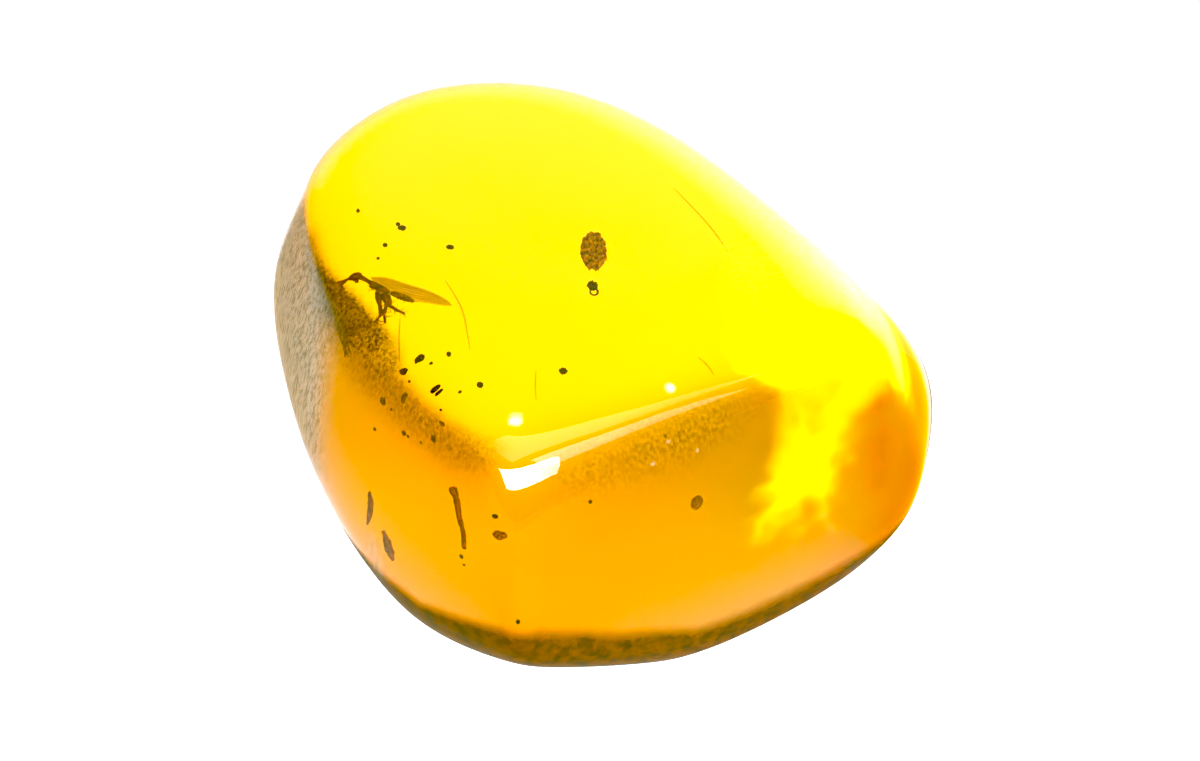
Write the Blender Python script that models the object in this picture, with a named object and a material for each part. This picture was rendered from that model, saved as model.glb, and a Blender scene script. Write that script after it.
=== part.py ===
"""Insect in amber: a ground and polished pebble of clear amber with a small winged insect inside.

The stone lies on its ground base, which is the plane z = 0. Its origin is the middle of that
plane below the stone's box. +X is to the right, +Y to the back and +Z up. Lengths are in metres.
The insect and the debris around it lie on one old resin-flow surface, so the stone is parted
along that surface in two halves, and each sealed piece lies in a pocket between them.
"""

import math

import bmesh
import bpy
import numpy as np
from mathutils import Matrix, Vector, noise

MM = 0.001

# The stone's faces. Each has the azimuth and elevation of its normal in degrees (azimuth 0
# looks to the front, -Y, and 90 to the right, +X), its distance from the stone's heart in mm,
# and how crisply it meets its neighbours: 22 leaves a ridge, 7 a broad round shoulder.
STONE_FACES = {
    "top": (100, 84, 5.6, 22),
    "ridge_facet": (30, 50, 7.66, 22),
    "slope_right": (75, 65.5, 7.9, 10),
    "front_right": (31, 20, 7.3, 18),
    "front_left": (-42, 16, 10.9, 18),
    "shoulder_left": (-60.5, 29.5, 12.0, 18),
    "left": (-78, 11, 13.1, 18),
    "back_left": (-121.5, 19.5, 15.2, 7),
    "back": (177, 26.5, 12.7, 7),
    "back_right": (132, 29.5, 9.3, 7),
    "right": (82.5, 13, 11.3, 10),
    "under_front": (-7.5, -45.5, 10.7, 9),
    "under_left": (-70.5, -30, 12.2, 9),
    "under_right": (53, -54, 11.0, 9),
    "under_back": (165, -40, 14.0, 8),
}
HEART_HEIGHT = 5.6 * MM
STONE_FINENESS = 5

# The flow surface: it crosses x = y = 0 at FLOW_HEIGHT, slopes down to the front, and is level
# behind y = FLOW_BEND. Every sealed piece lies on its sloping part.
FLOW_HEIGHT = 8.6 * MM
FLOW_SLOPE = math.radians(17)
FLOW_BEND = 3.2 * MM
GAP = 0.3 * MM
BLOCK_SIZE = 60 * MM

# The insect, about 2.6 mm from head to tail and 3.8 mm with its folded wings. Its place is on
# the flow surface, in mm. Its own frame lies in that surface: X to the tail's side, Y up the
# slope, Z out of the surface.
INSECT_PLACE = (-8.92, -0.61)
HEAD = (-0.84 * MM, 0.61 * MM, 0)
HEAD_HALF_SIZE = (0.21 * MM, 0.19 * MM, 0.20 * MM)
EYE_RADIUS = 0.11 * MM
THORAX = (0.06 * MM, 0.04 * MM, 0)
THORAX_HALF_SIZE = (0.47 * MM, 0.26 * MM, 0.25 * MM)
BODY_ANGLE = math.radians(-35)
WAIST = (0.42 * MM, -0.16 * MM, 0)
TAIL = (1.42 * MM, -0.72 * MM, 0)
ABDOMEN_RINGS = 7
ABDOMEN_RADIUS = 0.20 * MM
FEMUR_RADIUS = 0.068 * MM
TIBIA_RADIUS = 0.048 * MM
TARSUS_RADIUS = 0.038 * MM
ANTENNA_RADIUS = 0.034 * MM
WING_THICKNESS = 0.05 * MM
WING_SPREAD = 0.13 * MM

# Hip, knee, ankle and toe of the fore, middle and hind leg, in mm in the insect's own frame.
LEG_JOINTS = {
    "fore": ((-0.06, -0.10, 0.10), (0.10, -0.62, 0.24), (0.16, -1.02, 0.16), (-0.08, -1.42, 0.10)),
    "middle": ((0.14, -0.20, 0.12), (0.36, -0.66, 0.30), (0.20, -1.10, 0.28), (0.06, -1.50, 0.22)),
    "hind": ((0.34, -0.26, 0.10), (0.30, -0.74, 0.20), (0.62, -0.92, 0.32), (0.94, -1.04, 0.36)),
}
# The antenna from its root on the head back over the thorax, in mm.
ANTENNA_ROUTE = ((-0.78, 0.74, 0.08), (-0.46, 0.86, 0.16), (0.05, 0.66, 0.20), (0.62, 0.36, 0.18))
# The folded wing's front edge and hind edge, each from the root to the drooping tip, in mm.
WING_FRONT_EDGE = ((0.16, 0.12), (0.62, 0.35), (1.24, 0.37), (2.20, -0.02), (2.78, -0.42), (2.83, -0.70))
WING_HIND_EDGE = ((0.20, -0.02), (0.80, -0.36), (1.42, -0.60), (2.10, -0.62), (2.56, -0.60), (2.83, -0.70))

# The debris. Each piece has its place on the flow surface and half its size, in mm.
PELLET_PLACE = (-0.53, 1.42)
PELLET_HALF_SIZE = (0.50, 0.88, 0.45)
CRUMB_PLACE = (-0.60, -0.16)
CRUMB_RADIUS = 0.19
CURL_RADIUS = 0.15
CURL_THICKNESS = 0.045
TWIG_ROUTE = ((-4.60, -6.71), (-4.55, -7.28), (-4.63, -7.91), (-4.62, -8.63), (-4.77, -9.37))
TWIG_RADIUS = 0.13
GRAINS = {
    "seed_grain": ((3.39, -7.82), (0.25, 0.32, 0.20)),
    "dust_grain_1": ((-1.80, -3.96), (0.16, 0.15, 0.13)),
    "dust_grain_2": ((-6.20, 1.39), (0.15, 0.11, 0.10)),
    "dust_grain_3": ((-7.20, -3.45), (0.13, 0.15, 0.12)),
    "dust_grain_4": ((-8.09, 2.19), (0.16, 0.12, 0.11)),
}

# Colours (linear), roughness and metallic value of each substance.
AMBER = ((0.90, 0.52, 0.04), 0.06, 0.0)
CHITIN = ((0.11, 0.045, 0.012), 0.45, 0.0)
FRASS = ((0.13, 0.09, 0.03), 0.80, 0.0)
SOOT = ((0.02, 0.012, 0.006), 0.85, 0.0)
BARK = ((0.10, 0.045, 0.015), 0.80, 0.0)
SEED = ((0.16, 0.07, 0.02), 0.70, 0.0)


def remove_everything():
    """Empties the scene."""
    for obj in list(bpy.data.objects):
        bpy.data.objects.remove(obj, do_unlink=True)


def make_material(name, substance):
    """A Principled material of one substance."""
    color, roughness, metallic = substance
    material = bpy.data.materials.new(name)
    material.use_nodes = True
    shader = material.node_tree.nodes["Principled BSDF"]
    shader.inputs["Base Color"].default_value = (*color, 1.0)
    shader.inputs["Roughness"].default_value = roughness
    shader.inputs["Metallic"].default_value = metallic
    return material


def make_object(name, bm, material=None):
    """Turns a bmesh into a smooth-shaded object of the scene."""
    bmesh.ops.recalc_face_normals(bm, faces=bm.faces)
    mesh = bpy.data.meshes.new(name)
    bm.to_mesh(mesh)
    bm.free()
    mesh.shade_smooth()
    mesh.set_sharp_from_angle(angle=math.radians(35))
    obj = bpy.data.objects.new(name, mesh)
    bpy.context.collection.objects.link(obj)
    if material:
        mesh.materials.append(material)
    return obj


def boolean_onto(obj, other, operation):
    """Cuts another solid out of an object, or joins it on, and removes that other solid."""
    modifier = obj.modifiers.new(operation.lower(), "BOOLEAN")
    modifier.operation = operation
    modifier.solver = "EXACT"
    modifier.object = other
    bpy.context.view_layer.update()
    evaluated = obj.evaluated_get(bpy.context.evaluated_depsgraph_get())
    mesh = bpy.data.meshes.new_from_object(evaluated)
    obj.modifiers.clear()
    old_mesh = obj.data
    mesh.name = old_mesh.name
    obj.data = mesh
    bpy.data.meshes.remove(old_mesh)
    bpy.data.objects.remove(other, do_unlink=True)


def on_flow_surface(x, y):
    """The frame of a piece that lies on the flow surface at x, y in mm."""
    x, y = x * MM, y * MM
    height = FLOW_HEIGHT + y * math.tan(FLOW_SLOPE)
    return Matrix.Translation((x, y, height)) @ Matrix.Rotation(FLOW_SLOPE, 4, "X")


# The stone


def face_normal(azimuth, elevation):
    """The unit normal of a face of the stone."""
    a, e = math.radians(azimuth), math.radians(elevation)
    return np.array([math.sin(a) * math.cos(e), -math.cos(a) * math.cos(e), math.sin(e)])


def stone_radii(directions):
    """How far the stone reaches from its heart along each direction.

    A point is on the surface where the powers of its share of every face's distance add up
    to one. That is a flat-faced solid with each ridge rounded by its faces' crispness.
    """
    faces = STONE_FACES.values()
    crispness = np.array([face[3] for face in faces], float)
    slopes = [directions @ face_normal(az, el) / (distance * MM) for az, el, distance, _ in faces]
    slopes = np.maximum(np.stack(slopes, axis=1), 1e-9)
    outer = 1 / slopes.max(axis=1)
    inner = 0.3 * outer
    for _ in range(40):
        middle = (inner + outer) / 2
        within = ((middle[:, None] * slopes) ** crispness).sum(axis=1) < 1
        inner = np.where(within, middle, inner)
        outer = np.where(within, outer, middle)
    return (inner + outer) / 2


def close_cut(bm, point, normal):
    """Cuts off what lies beyond a plane and closes the cut with one flat face."""
    geometry = bm.verts[:] + bm.edges[:] + bm.faces[:]
    cut = bmesh.ops.bisect_plane(
        bm, geom=geometry, plane_co=point, plane_no=normal, clear_outer=True, dist=1e-8
    )
    rim = [item for item in cut["geom_cut"] if isinstance(item, bmesh.types.BMEdge)]
    bmesh.ops.contextual_create(bm, geom=rim)


def stone_blank():
    """The whole stone, standing on its base and centred on x = y = 0."""
    bm = bmesh.new()
    bmesh.ops.create_icosphere(bm, subdivisions=STONE_FINENESS, radius=1)
    directions = np.array([vert.co.normalized() for vert in bm.verts])
    for vert, radius in zip(bm.verts, stone_radii(directions)):
        vert.co = vert.co.normalized() * radius + Vector((0, 0, HEART_HEIGHT))
    close_cut(bm, (0, 0, 0), (0, 0, -1))
    places = np.array([vert.co for vert in bm.verts])
    middle = (places.min(axis=0) + places.max(axis=0)) / 2
    bmesh.ops.translate(bm, verts=bm.verts, vec=(-middle[0], -middle[1], 0))
    return bm


def keep_below_flow(bm, lift):
    """Cuts off what lies above the flow surface, which is lifted by a distance first."""
    bend = Vector((0, FLOW_BEND, FLOW_HEIGHT + FLOW_BEND * math.tan(FLOW_SLOPE)))
    for slope in (FLOW_SLOPE, 0):
        normal = Vector((0, -math.sin(slope), math.cos(slope)))
        close_cut(bm, bend + normal * lift, normal)


def make_lower_half(material):
    """The half of the stone below the flow surface."""
    bm = stone_blank()
    keep_below_flow(bm, -GAP / 2)
    return make_object("amber_lower", bm, material)


def make_upper_half(material):
    """The half of the stone above the flow surface: the whole stone less a block below it."""
    half = make_object("amber_upper", stone_blank(), material)
    block = bmesh.new()
    bmesh.ops.create_cube(block, size=BLOCK_SIZE)
    keep_below_flow(block, GAP / 2)
    boolean_onto(half, make_object("below_flow", block), "DIFFERENCE")
    return half


def make_pocket(x, y, half_size, middle=(0, 0), fineness=2):
    """A smooth cutter a little larger than the piece that lies in it."""
    bm = bmesh.new()
    bmesh.ops.create_icosphere(bm, subdivisions=fineness, radius=1)
    bmesh.ops.scale(bm, verts=bm.verts, vec=[half * MM for half in half_size])
    bmesh.ops.translate(bm, verts=bm.verts, vec=(middle[0] * MM, middle[1] * MM, 0))
    bmesh.ops.transform(bm, matrix=on_flow_surface(x, y), verts=bm.verts)
    cutter = make_object("pocket", bm)
    cutter.hide_render = True
    cutter.display_type = "WIRE"
    return cutter


# The insect


def ellipsoid(center, half_size, angle=0.0, fineness=3):
    """A smooth ellipsoid, turned by an angle in the plane of the flow surface."""
    bm = bmesh.new()
    bmesh.ops.create_icosphere(bm, subdivisions=fineness, radius=1)
    bmesh.ops.scale(bm, verts=bm.verts, vec=half_size)
    bmesh.ops.rotate(bm, verts=bm.verts, matrix=Matrix.Rotation(angle, 3, "Z"))
    bmesh.ops.translate(bm, verts=bm.verts, vec=center)
    return make_object("lump", bm)


def limb(route, radii, sides=6):
    """A round tube along a route, with one radius for each of its points."""
    bm = bmesh.new()
    route = [Vector(point) for point in route]
    rings = []
    for i, (point, radius) in enumerate(zip(route, radii)):
        along = (route[min(i + 1, len(route) - 1)] - route[max(i - 1, 0)]).normalized()
        turn = along.to_track_quat("Z", "Y").to_matrix()
        spokes = [2 * math.pi * k / sides for k in range(sides)]
        places = [Vector((radius * math.cos(a), radius * math.sin(a), 0)) for a in spokes]
        rings.append([bm.verts.new(point + turn @ place) for place in places])
    for low, high in zip(rings, rings[1:]):
        for k in range(sides):
            j = (k + 1) % sides
            bm.faces.new((low[k], low[j], high[j], high[k]))
    bm.faces.new(reversed(rings[0]))
    bm.faces.new(rings[-1])
    return make_object("limb", bm)


def smooth_route(points, steps):
    """Points along a smooth curve through the given points."""
    points = [Vector(point) for point in points]
    ends = [2 * points[0] - points[1], *points, 2 * points[-1] - points[-2]]
    route = []
    for p0, p1, p2, p3 in zip(ends, ends[1:], ends[2:], ends[3:]):
        for step in range(steps):
            t = step / steps
            bend = (2 * p0 - 5 * p1 + 4 * p2 - p3) * t * t + (3 * p1 - p0 - 3 * p2 + p3) * t**3
            route.append((2 * p1 + (p2 - p0) * t + bend) / 2)
    route.append(points[-1])
    return route


def mirrored(points, side):
    """Points given in mm, in metres and on the chosen side of the insect."""
    return [Vector((x * MM, y * MM, z * MM * side)) for x, y, z in points]


def abdomen():
    """The tapering abdomen, a little narrower at the joint between two rings."""
    steps = 2 * ABDOMEN_RINGS
    route, radii = [], []
    for step in range(steps + 1):
        t = step / steps
        girth = math.sin(math.pi * (0.16 + 0.78 * t)) ** 0.7
        joint = 0.88 if step % 2 == 0 else 1.0
        route.append(Vector(WAIST).lerp(Vector(TAIL), t))
        radii.append(ABDOMEN_RADIUS * girth * joint)
    return limb(route, radii, sides=10)


def leg(joints, side):
    """One leg: thick femur, slim tibia and thin tarsus, swollen at the knee and the ankle."""
    hip, knee, ankle, toe = mirrored(joints, side)
    route = [hip, hip.lerp(knee, 0.5), knee, knee.lerp(ankle, 0.5), ankle, ankle.lerp(toe, 0.5), toe]
    radii = [
        FEMUR_RADIUS * 0.9, FEMUR_RADIUS * 1.2, FEMUR_RADIUS * 0.9,
        TIBIA_RADIUS, TIBIA_RADIUS * 1.05, TARSUS_RADIUS, TARSUS_RADIUS * 0.9,
    ]
    return limb(route, radii)


def antenna(side):
    """One antenna, swept back over the thorax."""
    route = smooth_route(mirrored(ANTENNA_ROUTE, side), 3)
    radii = [ANTENNA_RADIUS * (1.15 - 0.35 * i / len(route)) for i in range(len(route))]
    return limb(route, radii, sides=5)


def wing(side):
    """One wing: a thin blade that leaves the thorax and lies along the abdomen's flank."""
    bm = bmesh.new()
    front = smooth_route([(x * MM, y * MM, 0) for x, y in WING_FRONT_EDGE], 2)
    hind = smooth_route([(x * MM, y * MM, 0) for x, y in WING_HIND_EDGE], 2)
    blade = bm.faces.new([bm.verts.new(point) for point in front + hind[-2::-1]])
    bmesh.ops.triangulate(bm, faces=[blade])
    raised = bmesh.ops.extrude_face_region(bm, geom=bm.faces[:])
    top = [item for item in raised["geom"] if isinstance(item, bmesh.types.BMVert)]
    bmesh.ops.translate(bm, verts=top, vec=(0, 0, WING_THICKNESS))
    for vert in bm.verts:
        reach = min(max(vert.co.x / (0.9 * MM), 0), 1)
        vert.co.z += WING_SPREAD + 0.09 * MM * math.sin(math.pi / 2 * reach)
        vert.co.z *= side
    return make_object("wing", bm)


def make_insect(material):
    """The whole insect, its head, body, legs, antennae and wings joined in one solid."""
    insect = ellipsoid(THORAX, THORAX_HALF_SIZE, BODY_ANGLE)
    parts = [ellipsoid(HEAD, HEAD_HALF_SIZE, BODY_ANGLE), abdomen()]
    neck = [Vector(HEAD).lerp(Vector(THORAX), t) for t in (0.05, 0.38, 0.75)]
    parts.append(limb(neck, [0.12 * MM, 0.085 * MM, 0.12 * MM], sides=8))
    mouth = [Vector(HEAD) + Vector(reach) * MM for reach in ((0, 0, 0), (0.02, -0.20, 0), (0.10, -0.30, 0))]
    parts.append(limb(mouth, [0.07 * MM, 0.06 * MM, 0.035 * MM]))
    for side in (1, -1):
        eye = Vector(HEAD) + Vector((-0.05 * MM, 0.03 * MM, side * 0.13 * MM))
        parts.append(ellipsoid(eye, (EYE_RADIUS, EYE_RADIUS * 1.15, EYE_RADIUS * 0.8), fineness=2))
        parts.append(antenna(side))
        parts += [leg(joints, side) for joints in LEG_JOINTS.values()]
        parts.append(wing(side))
    for part in parts:
        boolean_onto(insect, part, "UNION")
    insect.name = "insect"
    insect.data.name = "insect"
    insect.data.materials.clear()
    insect.data.materials.append(material)
    insect.matrix_world = on_flow_surface(*INSECT_PLACE)
    return insect


# The debris


def make_grain(name, place, half_size, material, fineness=2, roughness=0.16, grit=2.2):
    """A lumpy grain. Roughness is the height of its lumps as a share of its radius."""
    bm = bmesh.new()
    bmesh.ops.create_icosphere(bm, subdivisions=fineness, radius=1)
    seed = Vector((place[0], place[1], len(name)))
    for vert in bm.verts:
        vert.co *= 1 + roughness * noise.noise(vert.co * grit + seed)
    bmesh.ops.scale(bm, verts=bm.verts, vec=[half * MM for half in half_size])
    grain = make_object(name, bm, material)
    grain.matrix_world = on_flow_surface(*place)
    return grain


def make_crumb(material):
    """A black crumb of soot with a small curled shred stuck to its lower side."""
    size = (CRUMB_RADIUS, CRUMB_RADIUS * 1.15, CRUMB_RADIUS * 0.9)
    crumb = make_grain("curled_crumb", CRUMB_PLACE, size, material, roughness=0.3)
    crumb.matrix_world = Matrix.Identity(4)
    turn = math.radians(290)
    curl = []
    for step in range(12):
        angle = math.radians(80) - turn * step / 11
        x, y = CURL_RADIUS * math.cos(angle), CURL_RADIUS * math.sin(angle)
        curl.append(Vector((0.06 + x, -0.28 + y, 0.02)) * MM)
    radii = [CURL_THICKNESS * MM * (1 - 0.3 * step / 11) for step in range(12)]
    boolean_onto(crumb, limb(curl, radii), "UNION")
    crumb.matrix_world = on_flow_surface(*CRUMB_PLACE)
    return crumb


def make_twig(material):
    """A short, slightly crooked twig with a thicker, broken upper end."""
    middle_x, middle_y = TWIG_ROUTE[2]
    slope = math.cos(FLOW_SLOPE)
    points = [((x - middle_x) * MM, (y - middle_y) / slope * MM, 0) for x, y in TWIG_ROUTE]
    route = smooth_route(points, 4)
    radii = []
    for i in range(len(route)):
        taper = 1.05 - 0.35 * i / len(route)
        knots = 1 + 0.22 * noise.noise(Vector((0.9 * i, 0.3, 1.7)))
        radii.append(TWIG_RADIUS * MM * taper * knots)
    twig = limb(route, radii, sides=8)
    twig.name = "twig_fragment"
    twig.data.name = "twig_fragment"
    twig.data.materials.append(material)
    twig.matrix_world = on_flow_surface(middle_x, middle_y)
    return twig


def make_pockets():
    """The pockets of every sealed piece, as cutters."""
    clear = 1.15 * GAP / MM
    pockets = [
        make_pocket(*INSECT_PLACE, (2.75, 1.60, 0.85), middle=(0.85, -0.28), fineness=3),
        make_pocket(*PELLET_PLACE, [half + clear for half in PELLET_HALF_SIZE]),
        make_pocket(*CRUMB_PLACE, (0.62, 0.78, 0.55), middle=(0.02, -0.13)),
        make_pocket(*TWIG_ROUTE[2], (0.62, 2.0, 0.58)),
    ]
    for place, half_size in GRAINS.values():
        pockets.append(make_pocket(*place, [half * 1.15 + clear for half in half_size]))
    return pockets


def main():
    """Models the two halves of the stone and every piece sealed between them."""
    remove_everything()
    amber = make_material("amber", AMBER)
    for half in (make_upper_half(amber), make_lower_half(amber)):
        for pocket in make_pockets():
            boolean_onto(half, pocket, "DIFFERENCE")
    make_insect(make_material("chitin", CHITIN))
    soot = make_material("soot", SOOT)
    pellet_material = make_material("frass", FRASS)
    make_grain(
        "frass_pellet", PELLET_PLACE, PELLET_HALF_SIZE, pellet_material,
        fineness=3, roughness=0.14, grit=3.5,
    )
    make_crumb(soot)
    make_twig(make_material("bark", BARK))
    seed = make_material("seed", SEED)
    for name, (place, half_size) in GRAINS.items():
        substance = seed if name == "seed_grain" else soot
        make_grain(name, place, half_size, substance)


main()
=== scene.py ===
"""Insect in amber: the finish of the polished stone and of everything sealed inside it.

The CAD gives the stone in two halves with pockets. Here one clear stone of the same faces stands
for them, and finer pieces stand for the insect, the pellet and the rest of the debris.
Lengths are in metres, in the frame of the CAD: +X right, +Y back, +Z up, the base at z = 0.
"""

import math
import random

import bmesh
import bpy
import numpy as np
from mathutils import Matrix, Vector, noise


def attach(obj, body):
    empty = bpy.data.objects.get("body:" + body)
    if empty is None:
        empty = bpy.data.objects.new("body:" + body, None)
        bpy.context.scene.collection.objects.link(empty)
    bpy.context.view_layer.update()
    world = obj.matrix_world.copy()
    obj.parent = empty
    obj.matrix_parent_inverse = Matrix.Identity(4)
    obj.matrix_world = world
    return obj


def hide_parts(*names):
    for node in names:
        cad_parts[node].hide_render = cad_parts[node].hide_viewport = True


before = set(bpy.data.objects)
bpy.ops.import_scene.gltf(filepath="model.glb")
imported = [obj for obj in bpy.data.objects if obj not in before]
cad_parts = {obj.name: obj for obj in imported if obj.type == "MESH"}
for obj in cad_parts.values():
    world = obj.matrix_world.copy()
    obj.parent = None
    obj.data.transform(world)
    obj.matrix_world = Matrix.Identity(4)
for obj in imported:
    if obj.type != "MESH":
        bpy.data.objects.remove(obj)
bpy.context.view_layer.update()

MM = 0.001

# The stone's faces, as the CAD has them: azimuth and elevation of the normal in degrees, distance
# from the stone's heart in mm, and how crisply the face meets its neighbours.
STONE_FACES = {
    "top": (100, 84, 5.6, 22),
    "ridge_facet": (30, 50, 7.66, 22),
    "slope_right": (75, 65.5, 7.9, 10),
    "front_right": (31, 20, 7.3, 18),
    "front_left": (-42, 16, 10.9, 18),
    "shoulder_left": (-60.5, 29.5, 12.0, 18),
    "left": (-78, 11, 13.1, 18),
    "back_left": (-121.5, 19.5, 15.2, 7),
    "back": (177, 26.5, 12.7, 7),
    "back_right": (132, 29.5, 9.3, 7),
    "right": (82.5, 13, 11.3, 10),
    "under_front": (-7.5, -45.5, 10.7, 9),
    "under_left": (-70.5, -30, 12.2, 9),
    "under_right": (53, -54, 11.0, 9),
    "under_back": (165, -40, 14.0, 8),
}
HEART_HEIGHT = 5.6 * MM
STONE_FINENESS = 7
# The slight waves that hand polishing leaves.
WAVE_HEIGHT = 0.012 * MM
WAVE_LENGTH = 3.2 * MM

# Amber: its refractive index, and the share of red, green and blue light lost in each mm.
AMBER_IOR = 1.54
AMBER_LOSS = (0.004, 0.050, 0.60)
# The sawn side is matt where the cosine of the turn from its normal passes from one to the other.
SAWN_ROUGHNESS = 0.38
SAWN_COSINES = (0.950, 0.985)
SAW_SLANT = math.radians(35)
SAW_WIDTH = 0.12 * MM
SAW_LENGTH = 2.5 * MM
SAW_DEPTH = 0.02 * MM
# The base is frosted; the frost ends between these heights.
BASE_ROUGHNESS = 0.42
FROST_HEIGHTS = (0.01 * MM, 0.03 * MM)

# Weathered skin left on the stone, with painted shade where the stone looks darker brown: places in mm, how
# far each patch reaches, and its strength.
CRUST_AND_SHADE_PATCHES = (
    (-11.2, 0.5, 11.6, 0.60, 0.70), (-11.1, -0.6, 11.6, 0.80, 0.88), (-11.1, -1.8, 10.8, 0.90, 0.85),
    (-10.9, -1.5, 11.5, 0.85, 0.88), (-10.2, -2.4, 11.9, 0.85, 0.92), (-10.4, -3.1, 11.2, 1.10, 0.80),
    (-9.7, -3.3, 12.0, 0.80, 0.92), (-9.5, -4.4, 11.4, 1.25, 0.70), (-8.9, -4.4, 12.0, 0.75, 0.90),
    (-8.9, -5.3, 11.3, 1.20, 0.65), (-8.3, -5.5, 11.9, 0.70, 0.85), (-8.1, -6.2, 11.3, 1.15, 0.65),
    (-7.5, -7.2, 11.1, 1.10, 0.65), (-6.7, -8.0, 11.2, 1.05, 0.65), (-6.0, -8.7, 11.0, 1.00, 0.60),
    (-5.3, -9.2, 11.2, 0.95, 0.60), (-4.6, -9.6, 11.2, 0.75, 0.60),
    (-1.5, -9.9, 10.2, 0.88, 0.50), (-0.2, -9.3, 10.1, 1.04, 0.60), (1.4, -8.4, 9.9, 1.20, 0.70),
    (2.9, -7.6, 9.8, 1.20, 0.75), (4.3, -6.8, 9.8, 1.12, 0.70), (5.6, -5.9, 9.8, 0.80, 0.35),
)
# Where the skin and its painted shade are so dense that no light comes through them.
DENSE_CRUST_AND_SHADE_PATCHES = (
    (-9.35, -3.40, 12.05, 0.45, 0.55), (-9.75, -2.80, 12.00, 0.50, 0.70),
    (-10.20, -2.30, 11.90, 0.50, 0.70), (-10.05, -3.00, 11.80, 0.55, 0.50),
    (-10.60, -1.70, 11.70, 0.50, 0.60), (-10.90, -1.00, 11.70, 0.45, 0.45),
    (-10.60, -2.50, 11.30, 0.60, 0.45), (-8.90, -3.95, 12.00, 0.45, 0.50),
    (-8.60, -4.50, 11.95, 0.50, 0.35),
)
# Behind this line, given in mm from above, the skin is ground away and its painted shade ends. It fades in
# between these distances in mm before the line.
CRUST_AND_SHADE_BORDER = (
    (-13.0, 2.2), (-11.30, 1.18), (-11.06, -0.36), (-10.89, -0.94), (-10.19, -1.99), (-9.46, -2.86),
    (-8.74, -3.84), (-8.03, -4.71), (-7.86, -5.47), (-7.73, -6.22), (-6.95, -7.37), (-5.94, -8.27),
    (-4.56, -9.13), (-2.52, -9.27), (0.0, -8.1), (3.0, -6.4), (6.0, -4.8), (9.0, -3.2),
)
CRUST_AND_SHADE_FADE = (-0.3, 0.12)
# Painted shade round the lower edge, a dark brown band where the stone meets the table: azimuth in
# degrees and the height of its upper border in mm.
CONTACT_SHADE_BORDER = (
    (-180, 0.6), (-90, 1.8), (-60, 2.6), (-45, 2.8), (-34, 3.0), (-25, 3.8), (-17, 4.6), (-11, 4.5),
    (-4, 3.7), (3, 2.8), (11, 2.1), (19, 1.35), (29, 1.1), (47, 1.0), (80, 0.9), (180, 0.6),
)
CONTACT_SHADE_FADE = 0.3
CONTACT_SHADE_STRENGTH = 1.0
# Honey-coloured stain on the nose of the stone, and grey film in the lower left of the front.
STAIN_PATCHES = (
    (12.6, -1.5, 4.2, 2.4, 0.85), (12.8, 0.8, 5.0, 2.4, 0.85), (12.3, -4.0, 3.2, 1.8, 0.75),
    (11.4, -5.6, 1.9, 1.4, 0.60), (10.8, -2.7, 8.4, 0.65, 0.72), (10.8, -3.3, 7.8, 0.70, 0.68),
    (10.8, -3.8, 7.2, 0.70, 0.68), (10.9, -4.5, 5.6, 0.80, 0.65), (10.9, -5.0, 4.8, 0.75, 0.65),
    (10.9, -5.3, 3.9, 0.75, 0.60),
)
GREY_PATCHES = (
    (-8.90, -8.26, 4.15, 0.45, 0.55), (-8.79, -8.51, 3.50, 0.45, 0.65), (-8.68, -8.68, 2.88, 0.40, 0.60),
)
# Painted glints, white dots of painted highlight on the polish: places in mm, reach and strength.
GLINT_PATCHES = (
    (-3.38, -8.29, 11.72, 0.17, 1.0), (2.51, -6.17, 11.00, 0.13, 1.0),
    (1.81, -8.50, 9.29, 0.05, 0.4), (3.55, -7.58, 9.04, 0.05, 0.4), (2.43, -7.81, 9.84, 0.04, 0.25),
)
# The sawn side is hazy, with saw dust and a painted sheen, where its normal turns less than this from the
# side's own, in degrees.
HAZE_TURN = (12, 24)
# The haze and its painted sheen at some heights in mm: they are thinner towards the base.
HAZE_HEIGHTS = (3, 6, 8)
HAZE_DENSITIES = (0.25, 0.85, 1.0)
# The back upper edge carries a painted highlight, a milky pale sheen: how dense it is where the surface
# rises so many degrees, and the azimuths it fades in between.
SHEEN_RISES = (30, 40, 70, 80)
SHEEN_DENSITIES = (0.2, 0.75, 0.28, 0.0)
SHEEN_AZIMUTHS = (92, 115)
# Each film lies this far above the one below it. A face with less cover than the least is left out.
FILM_LIFT = 0.008 * MM
LEAST_COVER = 0.02

# The flow surface that the insect and the debris lie on.
FLOW_HEIGHT = 8.6 * MM
FLOW_SLOPE = math.radians(17)

# The insect, in mm on the flow surface and in its own frame.
INSECT_PLACE = (-8.92, -0.61)
BODY_ANGLE = math.radians(-35)
HEAD = (-0.73, 0.74, 0)
HEAD_HALF_SIZE = (0.16, 0.15, 0.15)
EYE_OFFSET = (-0.05, 0.03, 0.10)
EYE_HALF_SIZE = (0.09, 0.10, 0.07)
# How far along from head to thorax, and how thick the neck is there.
NECK = ((0.05, 0.10), (0.25, 0.065), (0.45, 0.065), (0.75, 0.10))
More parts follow.
